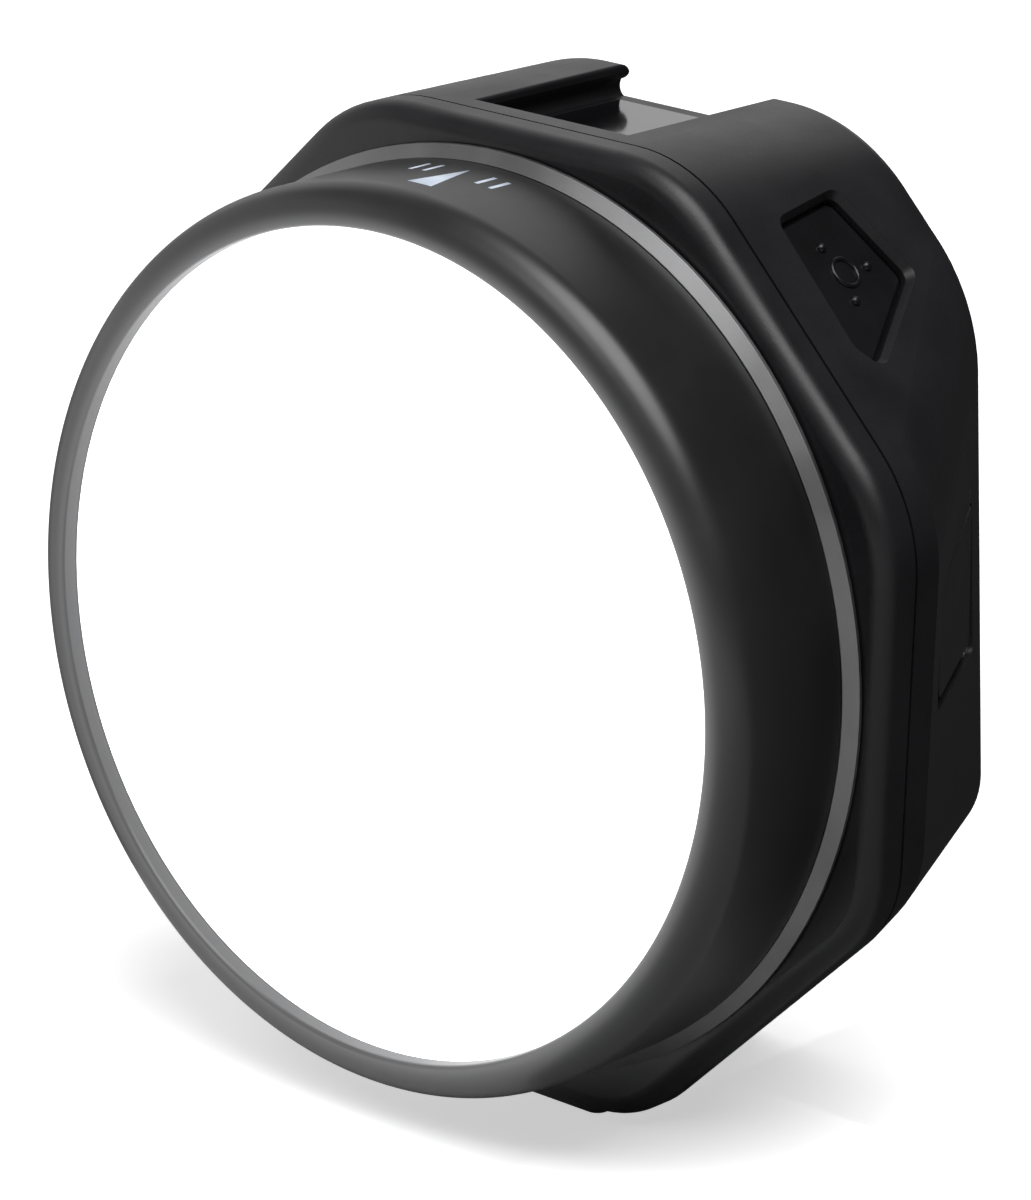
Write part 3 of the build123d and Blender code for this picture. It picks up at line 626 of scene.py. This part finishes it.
    def _patch(
        self, vertices: list[Vector], faces: list[tuple[int, ...]],
        angle: float, front_half: float, back_half: float, front: float, back: float,
    ) -> None:
        """Add one thin closed patch of ink that follows the sleeve.

        Args:
            vertices: Points so far, added to.
            faces: Faces so far, added to.
            angle: Middle of the patch, degrees from the top.
            front_half: Half width at its front end, degrees.
            back_half: Half width at its back end, degrees.
            front: Front station.
            back: Back station.
        """
        steps = self.ink_steps
        first = len(vertices)
        for lift in (self.ink_sink * self.ink_thickness, self.ink_thickness):
            for y, half in ((front, front_half), (back, back_half)):
                for i in range(steps + 1):
                    turn = math.radians(angle + half * (2 * i / steps - 1))
                    reach = self.radius + lift
                    vertices.append(Vector((reach * math.sin(turn), y,
                                            self.axis_z + reach * math.cos(turn))))
        row = steps + 1
        low, high = first, first + 2 * row
        for i in range(steps):
            faces.append((low + i, low + i + 1, low + row + i + 1, low + row + i))
            faces.append((high + i, high + i + 1, high + row + i + 1, high + row + i))
            faces.append((low + i, low + i + 1, high + i + 1, high + i))
            faces.append((low + row + i, low + row + i + 1, high + row + i + 1, high + row + i))
        for i in (0, steps):
            faces.append((low + i, low + row + i, high + row + i, high + i))


@dataclass
class Housing(Assembly):
    """Two shells with the seam, trim ring, top channel floor, screws and feet."""

    title: str = "housing"
    finishes: dict[str, Finish] = field(default_factory=lambda: {
        "front_shell": SPARKED_ABS,
        "rear_shell": SPARKED_ABS,
        "seam_gasket": SILICONE,
        "trim_ring": ANODISED_ALUMINIUM,
        "glide_ring": PRESSED_FELT,
        "channel_floor_plate": POLISHED_ACRYLIC,
        "shell_screws": BLACK_ZINC,
        "tripod_insert": TURNED_BRASS,
        "rubber_feet": SILICONE,
    })


@dataclass
class Buttons(Assembly):
    """Soft buttons on the two upper slanted facets."""

    title: str = "buttons"
    finishes: dict[str, Finish] = field(default_factory=lambda: {
        "button_cap_right": SILICONE_KEY,
        "button_cap_left": SILICONE_KEY,
        "button_boards": GLASS_EPOXY,
        "snap_domes": NICKEL_SPRING,
    })


@dataclass
class ChargingPort(Assembly):
    """Port door, its pin, the socket and its board."""

    title: str = "charging port"
    finishes: dict[str, Finish] = field(default_factory=lambda: {
        "port_door": SPARKED_ABS,
        "port_door_pin": GROUND_STEEL,
        "charging_socket": GROUND_STEEL,
        "charging_board": GLASS_EPOXY,
    })


@dataclass
class LightEngine(Assembly):
    """LED, heat sink and the carriage that they slide on."""

    title: str = "light engine"
    finishes: dict[str, Finish] = field(default_factory=lambda: {
        "guide_rods": GROUND_STEEL,
        "carriage_frame": MACHINED_ALUMINIUM,
        "cam_followers": GROUND_STEEL,
        "carriage_bushes": TURNED_BRASS,
        "heat_sink": MACHINED_ALUMINIUM,
        "sink_screws": BLACK_ZINC,
        "thermal_pad": THERMAL_SILICONE,
        "led_board": WHITE_MASK,
        "led_emitter": PHOSPHOR,
        "led_holder": ACETAL,
        "reflector_cup": VAPOUR_MIRROR,
    })


@dataclass
class Fan(Assembly):
    """Cooling fan behind the vents."""

    title: str = "fan"
    finishes: dict[str, Finish] = field(default_factory=lambda: {
        "fan_frame": GLASS_FILLED,
        "fan_rotor": GLASS_FILLED,
        "fan_screws": BLACK_ZINC,
    })


@dataclass
class Power(Assembly):
    """Driver board and the battery."""

    title: str = "power"
    finishes: dict[str, Finish] = field(default_factory=lambda: {
        "driver_board": GLASS_EPOXY,
        "driver_parts": MOULDED_EPOXY,
        "battery_cells": SHRINK_FILM,
        "battery_holder": ACETAL,
        "battery_contacts": NICKEL_SPRING,
    })


# ---- studio ------------------------------------------------------------------------------------
SUN_DISTANCE = 2.0              # where the skylight's marker hangs
CARD_HEIGHT = 0.4 * MM          # cards above the floor


@dataclass(frozen=True)
class Softbox:
    """Flat studio light.

    Attributes:
        name: Light's name.
        azimuth: Degrees from the lamp's front, towards its right side.
        elevation: Degrees above the table.
        distance: Metres from the lamp.
        width: Metres across.
        height: Metres tall.
        brightness: Radiance of the panel, one being paper white.
    """

    name: str
    azimuth: float
    elevation: float
    distance: float
    width: float
    height: float
    brightness: float

    def place(self, target: Vector) -> None:
        """Put the light in the scene, facing the lamp.

        Args:
            target: Middle of the lamp.
        """
        data = bpy.data.lights.new(self.name, "AREA")
        data.shape = "RECTANGLE"
        data.size, data.size_y = self.width, self.height
        data.energy = self.brightness * math.pi * self.width * self.height
        hang(data, direction(self.azimuth, self.elevation), self.distance, target)


@dataclass(frozen=True)
class Skylight:
    """Broad even light from far above.

    Attributes:
        name: Light's name.
        azimuth: Degrees from the lamp's front, towards its right side.
        elevation: Degrees above the table.
        spread: Degrees that the light takes up in the sky.
        strength: Watts per square metre.
    """

    name: str
    azimuth: float
    elevation: float
    spread: float
    strength: float

    def place(self, target: Vector) -> None:
        """Put the light in the scene, facing the lamp.

        Args:
            target: Middle of the lamp.
        """
        data = bpy.data.lights.new(self.name, "SUN")
        data.angle, data.energy = math.radians(self.spread), self.strength
        hang(data, direction(self.azimuth, self.elevation), SUN_DISTANCE, target)


@dataclass(frozen=True)
class Card:
    """Matt card laid on the table out of sight, for the lamp's gloss to mirror.

    Attributes:
        name: Card's name.
        colour: Its colour.
        corners: Its corners on the table, metres.
    """

    name: str
    colour: str
    corners: tuple[tuple[float, float], ...]

    def place(self) -> None:
        """Lay the card on the table, where only the lamp's surfaces see it."""
        points = [Vector((x, y, CARD_HEIGHT)) for x, y in self.corners]
        card = mesh_piece(self.name, points, [tuple(range(len(points)))])
        paper = bpy.data.materials.new(self.name)
        tree = blank_tree(paper)
        matt = add_node(tree, "ShaderNodeBsdfDiffuse", inputs={"Color": linear(self.colour)})
        add_node(tree, "ShaderNodeOutputMaterial", inputs={"Surface": matt.outputs[0]})
        card.data.materials.append(paper)
        card.visible_camera = False
        card.visible_shadow = False


def hang(data: bpy.types.Light, back: Vector, distance: float, target: Vector) -> None:
    """Hang a light so that it faces a target.

    Args:
        data: Light to hang.
        back: Unit vector from the target to the light.
        distance: Metres between them.
        target: Point that the light faces.
    """
    light = bpy.data.objects.new(data.name, data)
    bpy.context.scene.collection.objects.link(light)
    light.location = target + back * distance
    light.rotation_mode = "QUATERNION"
    light.rotation_quaternion = (-back).to_track_quat("-Z", "Y")


def direction(azimuth: float, elevation: float) -> Vector:
    """Unit vector out from the lamp.

    Args:
        azimuth: Degrees from the lamp's front, towards its right side.
        elevation: Degrees above the table.

    Returns:
        The unit vector.
    """
    a, e = math.radians(azimuth), math.radians(elevation)
    return Vector((math.sin(a) * math.cos(e), -math.cos(a) * math.cos(e), math.sin(e)))


@dataclass
class Studio:
    """Pale floor, soft light and the camera."""

    azimuth: float = 40.22
    elevation: float = 18.05
    roll: float = 1.86
    distance: float = 1.019
    aim_right: float = 6.3 * MM
    aim_up: float = 2.5 * MM
    focal_mm: float = 188.8
    floor_half: float = 8.0
    floor_lift: float = 0.56
    cards: tuple[Card, ...] = (
        Card("black_card", "#3a3a3a", (
            (0.03, 0.02), (7.5, 0.02), (7.5, 7.5), (-4.0, 7.5), (-0.6, 0.07), (0.03, 0.07))),
        Card("grey_card", "#919191", ((0.03, -0.4), (7.5, -0.4), (7.5, 0.02), (0.03, 0.02))),
        Card("left_card", "#8a8a8a", ((-2.5, -0.05), (-0.1, -0.05), (-0.1, 0.06), (-2.5, 1.2))),
    )
    white: str = "#ffffff"
    paper: str = "#f4f4f4"
    ambient: float = 0.06
    bloom_threshold: float = 1.7
    bloom_strength: float = 0.22
    bloom_size: float = 0.15
    lights: tuple[Softbox | Skylight, ...] = (
        Skylight("skylight", 60, 70, 50, 2.9),
        Softbox("left_back_panel", -135, 28, 2.0, 2.2, 1.6, 0.8),
        Softbox("left_panel", -75, 12, 1.6, 1.6, 1.2, 0.6),
        Softbox("front_top_panel", -4, 47, 1.6, 0.6, 0.5, 3.2),
    )

    def build(self) -> None:
        """Make the floor, world, lights, camera and the lens's bloom."""
        low, high = cad_box
        middle = (low + high) / 2
        self._floor()
        for card in self.cards:
            card.place()
        self._world()
        for light in self.lights:
            light.place(middle)
        self._camera()
        self._bloom()
        bpy.context.scene.view_settings.view_transform = "Standard"

    def _floor(self) -> None:
        """Lay a pale floor of one large sheet of paper, lifted where the camera sees it."""
        half = self.floor_half
        corners = [Vector((x * half, y * half, 0.0))
                   for x, y in ((-1, -1), (1, -1), (1, 1), (-1, 1))]
        floor = mesh_piece("studio_floor", corners, [(0, 1, 2, 3)])
        paper = bpy.data.materials.new("white_paper")
        tree = blank_tree(paper)
        matt = add_node(tree, "ShaderNodeBsdfDiffuse", inputs={"Color": linear(self.paper)})
        seen = add_node(tree, "ShaderNodeLightPath").outputs["Is Camera Ray"]
        amount = add_node(tree, "ShaderNodeMath", {"operation": "MULTIPLY"}, {
            0: seen, 1: self.floor_lift})
        lift = add_node(tree, "ShaderNodeEmission", inputs={
            "Color": linear(self.white), "Strength": amount.outputs[0]})
        both = add_node(tree, "ShaderNodeAddShader", inputs={
            0: matt.outputs[0], 1: lift.outputs[0]})
        add_node(tree, "ShaderNodeOutputMaterial", inputs={"Surface": both.outputs[0]})
        floor.data.materials.append(paper)

    def _world(self) -> None:
        """Surround the set with white, dim enough not to grey the black plastic."""
        world = bpy.data.worlds.new("studio")
        tree = blank_tree(world)
        seen = add_node(tree, "ShaderNodeBackground", inputs={
            "Color": linear(self.white), "Strength": 1.0})
        felt = add_node(tree, "ShaderNodeBackground", inputs={
            "Color": linear(self.white), "Strength": self.ambient})
        ray = add_node(tree, "ShaderNodeLightPath").outputs["Is Camera Ray"]
        both = add_node(tree, "ShaderNodeMixShader", inputs={
            0: ray, 1: felt.outputs[0], 2: seen.outputs[0]})
        add_node(tree, "ShaderNodeOutputWorld", inputs={"Surface": both.outputs[0]})
        bpy.context.scene.world = world

    def _camera(self) -> None:
        """Set the camera at its viewing angle, aimed near the middle of the trim ring."""
        low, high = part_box("focus_drum")
        pivot = Vector(((low.x + high.x) / 2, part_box("trim_ring")[0].y, (low.z + high.z) / 2))
        back = direction(self.azimuth, self.elevation)
        level = direction(self.azimuth + 90, 0)
        upright = back.cross(level)
        turn = math.radians(self.roll)
        right = math.cos(turn) * level + math.sin(turn) * upright
        up = math.cos(turn) * upright - math.sin(turn) * level
        spot = pivot + right * self.aim_right + up * self.aim_up + back * self.distance
        data = bpy.data.cameras.new("camera")
        data.lens = self.focal_mm
        camera = bpy.data.objects.new("camera", data)
        bpy.context.scene.collection.objects.link(camera)
        rows = Matrix((right, up, back)).transposed().to_4x4()
        camera.matrix_world = Matrix.Translation(spot) @ rows
        bpy.context.scene.camera = camera

    def _bloom(self) -> None:
        """Let the lit lens bloom a little over its dark lip, as it does in any lens."""
        scene = bpy.context.scene
        scene.use_nodes = True
        tree = scene.node_tree
        tree.nodes.clear()
        layers = add_node(tree, "CompositorNodeRLayers")
        glare = add_node(tree, "CompositorNodeGlare", {"glare_type": "BLOOM"}, {
            "Image": layers.outputs["Image"], "Threshold": self.bloom_threshold,
            "Strength": self.bloom_strength, "Size": self.bloom_size})
        add_node(tree, "CompositorNodeComposite", inputs={"Image": glare.outputs["Image"]})


def main() -> None:
    """Build and dress the lamp, then set up the studio."""
    logging.basicConfig(level=logging.INFO, format="%(name)s: %(message)s")
    for part in (FocusDrum(), Housing(), Buttons(), ChargingPort(), LightEngine(), Fan(), Power()):
        pieces = part.build()
        part.dress_nodes()
        part.report(pieces)
    Studio().build()


if __name__ == "__main__":
    main()
